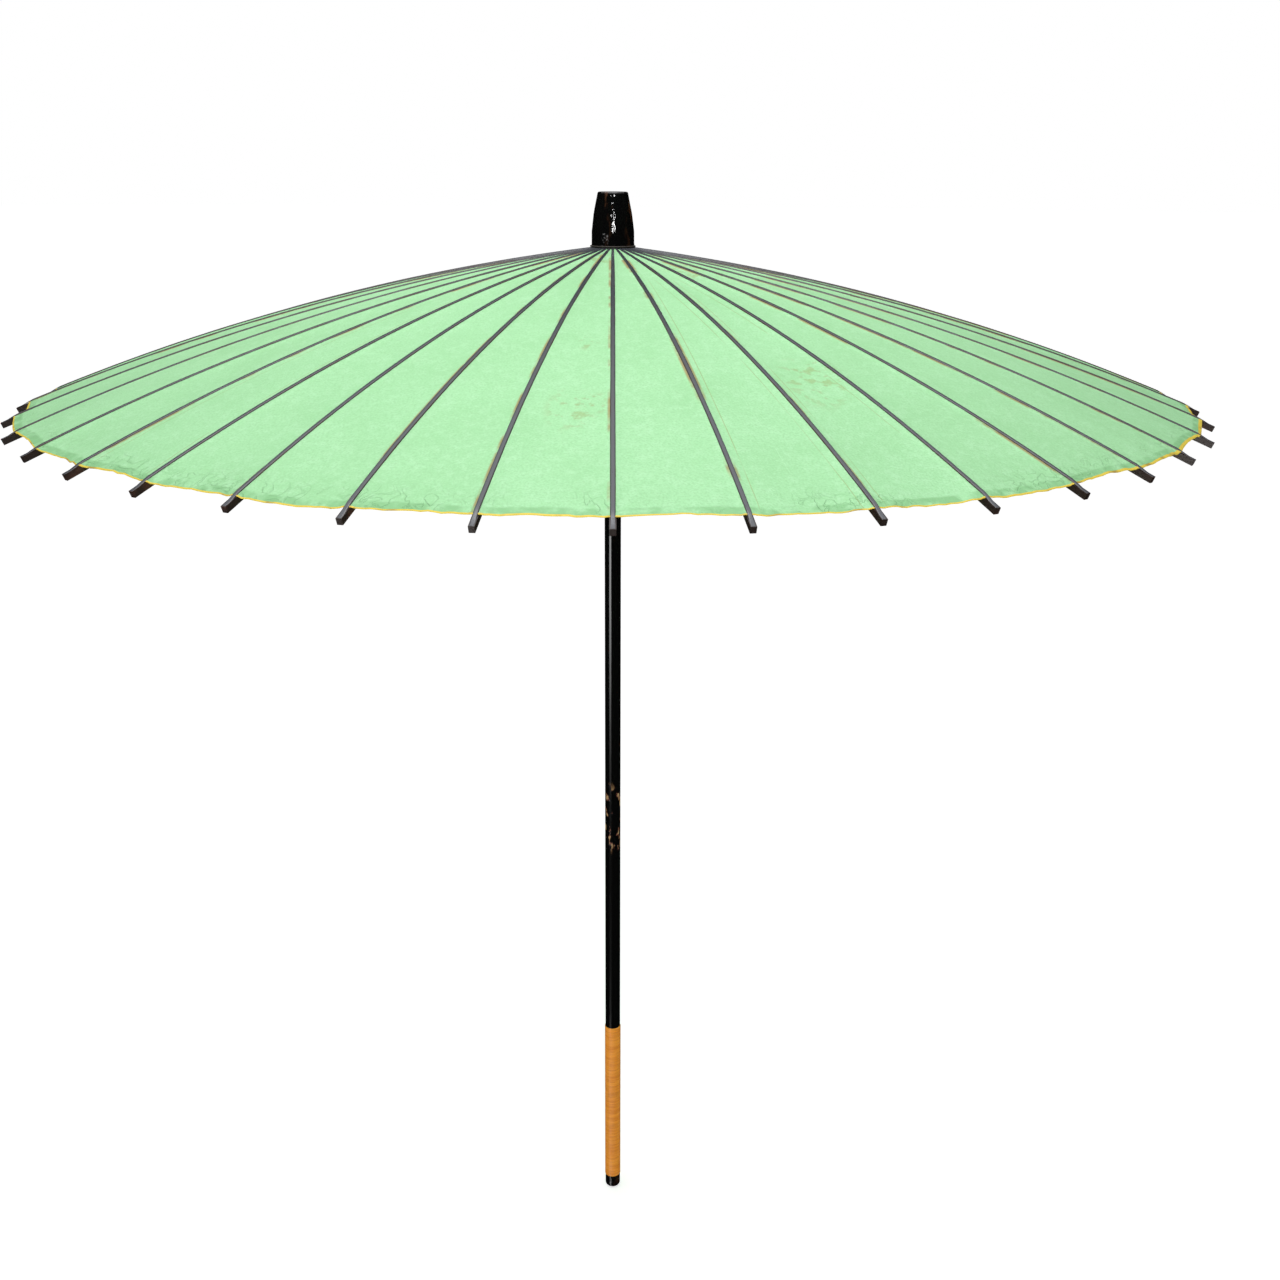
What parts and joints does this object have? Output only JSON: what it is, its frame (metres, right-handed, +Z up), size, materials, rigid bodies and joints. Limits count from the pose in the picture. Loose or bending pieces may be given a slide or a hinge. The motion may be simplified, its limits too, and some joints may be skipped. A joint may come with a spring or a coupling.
{
  "type": "oil paper umbrella",
  "caption": "Open oil paper umbrella: hinged split bamboo ribs under a pale green paper canopy, a notched hub and sliding runner on a slim lacquered shaft, a rattan grip",
  "frame": {"origin": "on the shaft's axis at its rounded lower end", "axes": "+Z up the shaft towards the cap; +X along the first rib; -Y towards the side with the catch"},
  "size_m": [1.0016, 1.0016, 1.0184],
  "materials": {
    "shaft_lacquer": "glossy black lacquer over bamboo",
    "cap_lacquer": "thick glossy black lacquer over paper",
    "oiled_paper": "pale green oiled paper, satin",
    "rib_lacquer": "dark lacquered split bamboo",
    "bamboo": "bare split bamboo, satin",
    "hub_wood": "turned pale hardwood, satin",
    "rattan": "varnished rattan winding",
    "thread": "dark waxed cotton thread",
    "rim_yellow": "yellow paper edging",
    "spring_metal": "plain steel"
  },
  "bodies": {
    "root": {"shaft": "shaft_lacquer", "grip_wrap": "rattan", "end_ferrule": "cap_lacquer", "head_hub": "hub_wood", "hub_cord": "thread", "head_cap": "cap_lacquer", "cap_cord": "thread", "canopy": "oiled_paper", "rim_cord": "rim_yellow", "stretchers": "bamboo", "catch_pin": "spring_metal", "catch_spring": "spring_metal"},
    "runner": {"runner": "hub_wood", "runner_cord": "thread"},
    "catch": {"catch_tongue": "bamboo"},
    "rib_00": {"rib_00": "rib_lacquer"},
    "rib_01": {"rib_01": "rib_lacquer"},
    "rib_02": {"rib_02": "rib_lacquer"},
    "rib_03": {"rib_03": "rib_lacquer"},
    "rib_04": {"rib_04": "rib_lacquer"},
    "rib_05": {"rib_05": "rib_lacquer"},
    "rib_06": {"rib_06": "rib_lacquer"},
    "rib_07": {"rib_07": "rib_lacquer"},
    "rib_08": {"rib_08": "rib_lacquer"},
    "rib_09": {"rib_09": "rib_lacquer"},
    "rib_10": {"rib_10": "rib_lacquer"},
    "rib_11": {"rib_11": "rib_lacquer"},
    "rib_12": {"rib_12": "rib_lacquer"},
    "rib_13": {"rib_13": "rib_lacquer"},
    "rib_14": {"rib_14": "rib_lacquer"},
    "rib_15": {"rib_15": "rib_lacquer"},
    "rib_16": {"rib_16": "rib_lacquer"},
    "rib_17": {"rib_17": "rib_lacquer"},
    "rib_18": {"rib_18": "rib_lacquer"},
    "rib_19": {"rib_19": "rib_lacquer"},
    "rib_20": {"rib_20": "rib_lacquer"},
    "rib_21": {"rib_21": "rib_lacquer"},
    "rib_22": {"rib_22": "rib_lacquer"},
    "rib_23": {"rib_23": "rib_lacquer"},
    "rib_24": {"rib_24": "rib_lacquer"},
    "rib_25": {"rib_25": "rib_lacquer"},
    "rib_26": {"rib_26": "rib_lacquer"},
    "rib_27": {"rib_27": "rib_lacquer"},
    "rib_28": {"rib_28": "rib_lacquer"},
    "rib_29": {"rib_29": "rib_lacquer"},
    "rib_30": {"rib_30": "rib_lacquer"},
    "rib_31": {"rib_31": "rib_lacquer"},
    "rib_32": {"rib_32": "rib_lacquer"},
    "rib_33": {"rib_33": "rib_lacquer"},
    "rib_34": {"rib_34": "rib_lacquer"},
    "rib_35": {"rib_35": "rib_lacquer"},
    "rib_36": {"rib_36": "rib_lacquer"},
    "rib_37": {"rib_37": "rib_lacquer"},
    "rib_38": {"rib_38": "rib_lacquer"},
    "rib_39": {"rib_39": "rib_lacquer"},
    "stretcher_00": {"stretcher_00": "bamboo"},
    "stretcher_08": {"stretcher_08": "bamboo"},
    "stretcher_16": {"stretcher_16": "bamboo"},
    "stretcher_24": {"stretcher_24": "bamboo"},
    "stretcher_32": {"stretcher_32": "bamboo"}
  },
  "joints": [
    {"name": "runner_slide", "type": "slide", "parent": "root", "child": "runner", "axis": [0, 0, 1], "range_m": [-0.29221, 0], "deforming": ["canopy", "rim_cord", "stretchers", "catch_tongue"]},
    {"name": "catch_press", "type": "hinge", "parent": "root", "child": "catch", "pos_m": [0, -0.005, 0.7435], "axis": [1, 0, 0], "range_deg": [-6.2, 0], "stiffness_Nm_per_rad": 0.05, "deforming": ["catch_spring"]},
    {"name": "rib_00_fold", "type": "hinge", "parent": "root", "child": "rib_00", "pos_m": [0.0145, 0, 0.9695], "axis": [0, 1, 0], "range_deg": [0, 73.51]},
    {"name": "rib_01_fold", "type": "hinge", "parent": "root", "child": "rib_01", "pos_m": [0.01432, 0.00227, 0.9695], "axis": [-0.1564, 0.9877, 0], "range_deg": [0, 73.51]},
    {"name": "rib_02_fold", "type": "hinge", "parent": "root", "child": "rib_02", "pos_m": [0.01379, 0.00448, 0.9695], "axis": [-0.309, 0.9511, 0], "range_deg": [0, 73.51]},
    {"name": "rib_03_fold", "type": "hinge", "parent": "root", "child": "rib_03", "pos_m": [0.01292, 0.00658, 0.9695], "axis": [-0.454, 0.891, 0], "range_deg": [0, 73.51]},
    {"name": "rib_04_fold", "type": "hinge", "parent": "root", "child": "rib_04", "pos_m": [0.01173, 0.00852, 0.9695], "axis": [-0.5878, 0.809, 0], "range_deg": [0, 73.51]},
    {"name": "rib_05_fold", "type": "hinge", "parent": "root", "child": "rib_05", "pos_m": [0.01025, 0.01025, 0.9695], "axis": [-0.7071, 0.7071, 0], "range_deg": [0, 73.51]},
    {"name": "rib_06_fold", "type": "hinge", "parent": "root", "child": "rib_06", "pos_m": [0.00852, 0.01173, 0.9695], "axis": [-0.809, 0.5878, 0], "range_deg": [0, 73.51]},
    {"name": "rib_07_fold", "type": "hinge", "parent": "root", "child": "rib_07", "pos_m": [0.00658, 0.01292, 0.9695], "axis": [-0.891, 0.454, 0], "range_deg": [0, 73.51]},
    {"name": "rib_08_fold", "type": "hinge", "parent": "root", "child": "rib_08", "pos_m": [0.00448, 0.01379, 0.9695], "axis": [-0.9511, 0.309, 0], "range_deg": [0, 73.51]},
    {"name": "rib_09_fold", "type": "hinge", "parent": "root", "child": "rib_09", "pos_m": [0.00227, 0.01432, 0.9695], "axis": [-0.9877, 0.1564, 0], "range_deg": [0, 73.51]},
    {"name": "rib_10_fold", "type": "hinge", "parent": "root", "child": "rib_10", "pos_m": [0, 0.0145, 0.9695], "axis": [-1, 0, 0], "range_deg": [0, 73.51]},
    {"name": "rib_11_fold", "type": "hinge", "parent": "root", "child": "rib_11", "pos_m": [-0.00227, 0.01432, 0.9695], "axis": [-0.9877, -0.1564, 0], "range_deg": [0, 73.51]},
    {"name": "rib_12_fold", "type": "hinge", "parent": "root", "child": "rib_12", "pos_m": [-0.00448, 0.01379, 0.9695], "axis": [-0.9511, -0.309, 0], "range_deg": [0, 73.51]},
    {"name": "rib_13_fold", "type": "hinge", "parent": "root", "child": "rib_13", "pos_m": [-0.00658, 0.01292, 0.9695], "axis": [-0.891, -0.454, 0], "range_deg": [0, 73.51]},
    {"name": "rib_14_fold", "type": "hinge", "parent": "root", "child": "rib_14", "pos_m": [-0.00852, 0.01173, 0.9695], "axis": [-0.809, -0.5878, 0], "range_deg": [0, 73.51]},
    {"name": "rib_15_fold", "type": "hinge", "parent": "root", "child": "rib_15", "pos_m": [-0.01025, 0.01025, 0.9695], "axis": [-0.7071, -0.7071, 0], "range_deg": [0, 73.51]},
    {"name": "rib_16_fold", "type": "hinge", "parent": "root", "child": "rib_16", "pos_m": [-0.01173, 0.00852, 0.9695], "axis": [-0.5878, -0.809, 0], "range_deg": [0, 73.51]},
    {"name": "rib_17_fold", "type": "hinge", "parent": "root", "child": "rib_17", "pos_m": [-0.01292, 0.00658, 0.9695], "axis": [-0.454, -0.891, 0], "range_deg": [0, 73.51]},
    {"name": "rib_18_fold", "type": "hinge", "parent": "root", "child": "rib_18", "pos_m": [-0.01379, 0.00448, 0.9695], "axis": [-0.309, -0.9511, 0], "range_deg": [0, 73.51]},
    {"name": "rib_19_fold", "type": "hinge", "parent": "root", "child": "rib_19", "pos_m": [-0.01432, 0.00227, 0.9695], "axis": [-0.1564, -0.9877, 0], "range_deg": [0, 73.51]},
    {"name": "rib_20_fold", "type": "hinge", "parent": "root", "child": "rib_20", "pos_m": [-0.0145, 0, 0.9695], "axis": [0, -1, 0], "range_deg": [0, 73.51]},
    {"name": "rib_21_fold", "type": "hinge", "parent": "root", "child": "rib_21", "pos_m": [-0.01432, -0.00227, 0.9695], "axis": [0.1564, -0.9877, 0], "range_deg": [0, 73.51]},
    {"name": "rib_22_fold", "type": "hinge", "parent": "root", "child": "rib_22", "pos_m": [-0.01379, -0.00448, 0.9695], "axis": [0.309, -0.9511, 0], "range_deg": [0, 73.51]},
    {"name": "rib_23_fold", "type": "hinge", "parent": "root", "child": "rib_23", "pos_m": [-0.01292, -0.00658, 0.9695], "axis": [0.454, -0.891, 0], "range_deg": [0, 73.51]},
    {"name": "rib_24_fold", "type": "hinge", "parent": "root", "child": "rib_24", "pos_m": [-0.01173, -0.00852, 0.9695], "axis": [0.5878, -0.809, 0], "range_deg": [0, 73.51]},
    {"name": "rib_25_fold", "type": "hinge", "parent": "root", "child": "rib_25", "pos_m": [-0.01025, -0.01025, 0.9695], "axis": [0.7071, -0.7071, 0], "range_deg": [0, 73.51]},
    {"name": "rib_26_fold", "type": "hinge", "parent": "root", "child": "rib_26", "pos_m": [-0.00852, -0.01173, 0.9695], "axis": [0.809, -0.5878, 0], "range_deg": [0, 73.51]},
    {"name": "rib_27_fold", "type": "hinge", "parent": "root", "child": "rib_27", "pos_m": [-0.00658, -0.01292, 0.9695], "axis": [0.891, -0.454, 0], "range_deg": [0, 73.51]},
    {"name": "rib_28_fold", "type": "hinge", "parent": "root", "child": "rib_28", "pos_m": [-0.00448, -0.01379, 0.9695], "axis": [0.9511, -0.309, 0], "range_deg": [0, 73.51]},
    {"name": "rib_29_fold", "type": "hinge", "parent": "root", "child": "rib_29", "pos_m": [-0.00227, -0.01432, 0.9695], "axis": [0.9877, -0.1564, 0], "range_deg": [0, 73.51]},
    {"name": "rib_30_fold", "type": "hinge", "parent": "root", "child": "rib_30", "pos_m": [0, -0.0145, 0.9695], "axis": [1, 0, 0], "range_deg": [0, 73.51]},
    {"name": "rib_31_fold", "type": "hinge", "parent": "root", "child": "rib_31", "pos_m": [0.00227, -0.01432, 0.9695], "axis": [0.9877, 0.1564, 0], "range_deg": [0, 73.51]},
    {"name": "rib_32_fold", "type": "hinge", "parent": "root", "child": "rib_32", "pos_m": [0.00448, -0.01379, 0.9695], "axis": [0.9511, 0.309, 0], "range_deg": [0, 73.51]},
    {"name": "rib_33_fold", "type": "hinge", "parent": "root", "child": "rib_33", "pos_m": [0.00658, -0.01292, 0.9695], "axis": [0.891, 0.454, 0], "range_deg": [0, 73.51]},
    {"name": "rib_34_fold", "type": "hinge", "parent": "root", "child": "rib_34", "pos_m": [0.00852, -0.01173, 0.9695], "axis": [0.809, 0.5878, 0], "range_deg": [0, 73.51]},
    {"name": "rib_35_fold", "type": "hinge", "parent": "root", "child": "rib_35", "pos_m": [0.01025, -0.01025, 0.9695], "axis": [0.7071, 0.7071, 0], "range_deg": [0, 73.51]},
    {"name": "rib_36_fold", "type": "hinge", "parent": "root", "child": "rib_36", "pos_m": [0.01173, -0.00852, 0.9695], "axis": [0.5878, 0.809, 0], "range_deg": [0, 73.51]},
    {"name": "rib_37_fold", "type": "hinge", "parent": "root", "child": "rib_37", "pos_m": [0.01292, -0.00658, 0.9695], "axis": [0.454, 0.891, 0], "range_deg": [0, 73.51]},
    {"name": "rib_38_fold", "type": "hinge", "parent": "root", "child": "rib_38", "pos_m": [0.01379, -0.00448, 0.9695], "axis": [0.309, 0.9511, 0], "range_deg": [0, 73.51]},
    {"name": "rib_39_fold", "type": "hinge", "parent": "root", "child": "rib_39", "pos_m": [0.01432, -0.00227, 0.9695], "axis": [0.1564, 0.9877, 0], "range_deg": [0, 73.51]},
    {"name": "stretcher_00_swing", "type": "hinge", "parent": "rib_00", "child": "stretcher_00", "pos_m": [0.22094, 0, 0.93118], "axis": [0, -1, 0], "range_deg": [0, 129.64]},
    {"name": "stretcher_08_swing", "type": "hinge", "parent": "rib_08", "child": "stretcher_08", "pos_m": [0.06827, 0.21013, 0.93118], "axis": [0.9511, -0.309, 0], "range_deg": [0, 129.64]},
    {"name": "stretcher_16_swing", "type": "hinge", "parent": "rib_16", "child": "stretcher_16", "pos_m": [-0.17875, 0.12987, 0.93118], "axis": [0.5878, 0.809, 0], "range_deg": [0, 129.64]},
    {"name": "stretcher_24_swing", "type": "hinge", "parent": "rib_24", "child": "stretcher_24", "pos_m": [-0.17875, -0.12987, 0.93118], "axis": [-0.5878, 0.809, 0], "range_deg": [0, 129.64]},
    {"name": "stretcher_32_swing", "type": "hinge", "parent": "rib_32", "child": "stretcher_32", "pos_m": [0.06827, -0.21013, 0.93118], "axis": [-0.9511, -0.309, 0], "range_deg": [0, 129.64]}
  ],
  "couplings": [
    {"joint": "rib_00_fold", "follows": "runner_slide", "rad_per_m": -4.3908},
    {"joint": "rib_01_fold", "follows": "runner_slide", "rad_per_m": -4.3908},
    {"joint": "rib_02_fold", "follows": "runner_slide", "rad_per_m": -4.3908},
    {"joint": "rib_03_fold", "follows": "runner_slide", "rad_per_m": -4.3908},
    {"joint": "rib_04_fold", "follows": "runner_slide", "rad_per_m": -4.3908},
    {"joint": "rib_05_fold", "follows": "runner_slide", "rad_per_m": -4.3908},
    {"joint": "rib_06_fold", "follows": "runner_slide", "rad_per_m": -4.3908},
    {"joint": "rib_07_fold", "follows": "runner_slide", "rad_per_m": -4.3908},
    {"joint": "rib_08_fold", "follows": "runner_slide", "rad_per_m": -4.3908},
    {"joint": "rib_09_fold", "follows": "runner_slide", "rad_per_m": -4.3908},
    {"joint": "rib_10_fold", "follows": "runner_slide", "rad_per_m": -4.3908},
    {"joint": "rib_11_fold", "follows": "runner_slide", "rad_per_m": -4.3908},
    {"joint": "rib_12_fold", "follows": "runner_slide", "rad_per_m": -4.3908},
    {"joint": "rib_13_fold", "follows": "runner_slide", "rad_per_m": -4.3908},
    {"joint": "rib_14_fold", "follows": "runner_slide", "rad_per_m": -4.3908},
    {"joint": "rib_15_fold", "follows": "runner_slide", "rad_per_m": -4.3908},
    {"joint": "rib_16_fold", "follows": "runner_slide", "rad_per_m": -4.3908},
    {"joint": "rib_17_fold", "follows": "runner_slide", "rad_per_m": -4.3908},
    {"joint": "rib_18_fold", "follows": "runner_slide", "rad_per_m": -4.3908},
    {"joint": "rib_19_fold", "follows": "runner_slide", "rad_per_m": -4.3908},
    {"joint": "rib_20_fold", "follows": "runner_slide", "rad_per_m": -4.3908},
    {"joint": "rib_21_fold", "follows": "runner_slide", "rad_per_m": -4.3908},
    {"joint": "rib_22_fold", "follows": "runner_slide", "rad_per_m": -4.3908},
    {"joint": "rib_23_fold", "follows": "runner_slide", "rad_per_m": -4.3908},
    {"joint": "rib_24_fold", "follows": "runner_slide", "rad_per_m": -4.3908},
    {"joint": "rib_25_fold", "follows": "runner_slide", "rad_per_m": -4.3908},
    {"joint": "rib_26_fold", "follows": "runner_slide", "rad_per_m": -4.3908},
    {"joint": "rib_27_fold", "follows": "runner_slide", "rad_per_m": -4.3908},
    {"joint": "rib_28_fold", "follows": "runner_slide", "rad_per_m": -4.3908},
    {"joint": "rib_29_fold", "follows": "runner_slide", "rad_per_m": -4.3908},
    {"joint": "rib_30_fold", "follows": "runner_slide", "rad_per_m": -4.3908},
    {"joint": "rib_31_fold", "follows": "runner_slide", "rad_per_m": -4.3908},
    {"joint": "rib_32_fold", "follows": "runner_slide", "rad_per_m": -4.3908},
    {"joint": "rib_33_fold", "follows": "runner_slide", "rad_per_m": -4.3908},
    {"joint": "rib_34_fold", "follows": "runner_slide", "rad_per_m": -4.3908},
    {"joint": "rib_35_fold", "follows": "runner_slide", "rad_per_m": -4.3908},
    {"joint": "rib_36_fold", "follows": "runner_slide", "rad_per_m": -4.3908},
    {"joint": "rib_37_fold", "follows": "runner_slide", "rad_per_m": -4.3908},
    {"joint": "rib_38_fold", "follows": "runner_slide", "rad_per_m": -4.3908},
    {"joint": "rib_39_fold", "follows": "runner_slide", "rad_per_m": -4.3908},
    {"joint": "stretcher_00_swing", "follows": "runner_slide", "rad_per_m": -7.7431},
    {"joint": "stretcher_08_swing", "follows": "runner_slide", "rad_per_m": -7.7431},
    {"joint": "stretcher_16_swing", "follows": "runner_slide", "rad_per_m": -7.7431},
    {"joint": "stretcher_24_swing", "follows": "runner_slide", "rad_per_m": -7.7431},
    {"joint": "stretcher_32_swing", "follows": "runner_slide", "rad_per_m": -7.7431}
  ]
}
